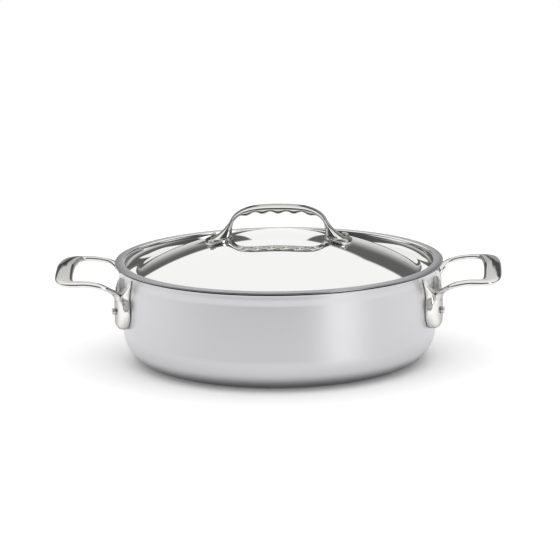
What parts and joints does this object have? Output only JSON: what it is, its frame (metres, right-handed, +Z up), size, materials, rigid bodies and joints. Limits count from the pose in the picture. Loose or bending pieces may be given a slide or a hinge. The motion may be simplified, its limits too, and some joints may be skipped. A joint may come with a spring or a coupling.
{
  "type": "saute pan",
  "caption": "Low round saute pan with a flared rim, cast loop side handles and a domed lift-off lid with a scalloped bridge handle.",
  "frame": {"origin": "middle of the flat base, on the surface that the pan stands on", "axes": "+Z up; +X towards the right side handle; +Y away from the viewer"},
  "size_m": [0.4016, 0.2968, 0.142],
  "materials": {
    "brushed_steel": "satin, brushed round the wall and polished inside",
    "polished_steel": "mirror polished",
    "cast_steel": "polished casting",
    "rivet_steel": "smooth turned"
  },
  "bodies": {
    "pan": {"pan_body": "brushed_steel", "side_handle_left": "cast_steel", "side_handle_right": "cast_steel", "side_rivet_left_front": "rivet_steel", "side_rivet_left_rear": "rivet_steel", "side_rivet_right_front": "rivet_steel", "side_rivet_right_rear": "rivet_steel"},
    "lid": {"lid_shell": "polished_steel", "lid_handle": "cast_steel", "lid_rivet_left_front": "rivet_steel", "lid_rivet_left_rear": "rivet_steel", "lid_rivet_right_front": "rivet_steel", "lid_rivet_right_rear": "rivet_steel"}
  },
  "joints": [
    {"name": "lid_lift", "type": "slide", "parent": "pan", "child": "lid", "axis": [0, 0, 1], "range_m": [0, 0.12]}
  ]
}
